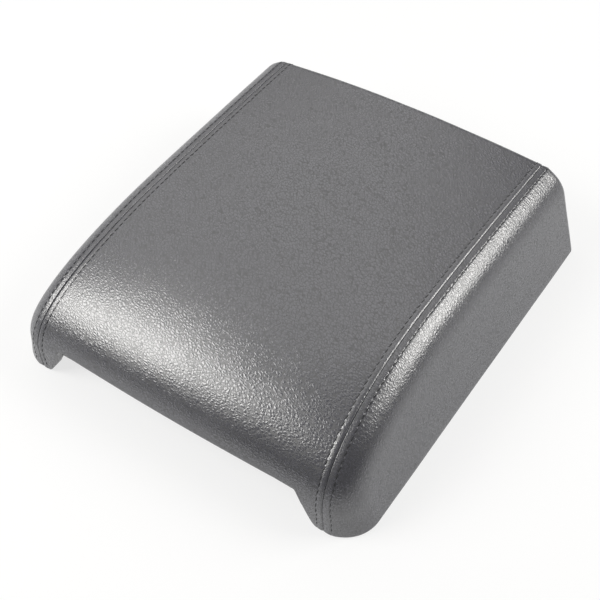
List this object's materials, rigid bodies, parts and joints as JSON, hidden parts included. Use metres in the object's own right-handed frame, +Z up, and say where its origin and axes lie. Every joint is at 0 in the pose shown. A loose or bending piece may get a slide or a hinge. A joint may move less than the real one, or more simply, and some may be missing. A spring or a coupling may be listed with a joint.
{
  "type": "car centre armrest",
  "caption": "Hinged padded lid of a car's centre console, in stitched black leather, with a finger recess and latch at the front and a hinge leaf at the rear.",
  "frame": {"origin": "middle of the lid's outline on the surface that the skirt stands on", "axes": "+X to the lid's right seen from its front, +Y to the rear where the hinge is, +Z up"},
  "size_m": [0.25, 0.2576, 0.0697],
  "materials": {
    "leather_top": "black pebble-grain leather",
    "leather_side": "black pebble-grain leather",
    "foam": "moulded polyurethane foam",
    "shell_plastic": "moulded ABS, bare",
    "liner_plastic": "fine-grained black ABS",
    "bump_rubber": "moulded rubber",
    "paddle_plastic": "glass-filled nylon",
    "bush_plastic": "natural acetal",
    "screw_steel": "black-zinc steel",
    "zinc_steel": "zinc-plated steel"
  },
  "bodies": {
    "lid": {"centre_cover": "leather_top", "left_cover": "leather_side", "right_cover": "leather_side", "foam_pad": "foam", "upper_shell": "shell_plastic", "inner_liner": "liner_plastic", "liner_screws": "screw_steel", "bump_stop_front_left": "bump_rubber", "bump_stop_front_right": "bump_rubber", "bump_stop_rear_left": "bump_rubber", "bump_stop_rear_right": "bump_rubber", "latch_bracket": "zinc_steel", "latch_pin": "zinc_steel", "latch_clip": "zinc_steel", "latch_spring": "zinc_steel", "latch_screws": "screw_steel", "hinge_bracket": "zinc_steel", "hinge_pin": "zinc_steel", "hinge_clip": "zinc_steel", "hinge_screws": "screw_steel"},
    "latch": {"latch_paddle": "paddle_plastic"},
    "leaf": {"hinge_leaf": "zinc_steel", "hinge_bush_left": "bush_plastic", "hinge_bush_right": "bush_plastic"}
  },
  "joints": [
    {"name": "latch_pull", "type": "hinge", "parent": "lid", "child": "latch", "pos_m": [0, -0.081, 0.024], "axis": [-1, 0, 0], "range_deg": [0, 14], "stiffness_Nm_per_rad": 0.08, "springref_deg": -28.65, "deforming": ["latch_spring"]},
    {"name": "lid_hinge", "type": "hinge", "parent": "lid", "child": "leaf", "pos_m": [0, 0.108, 0.028], "axis": [1, 0, 0], "range_deg": [0, 95]}
  ]
}
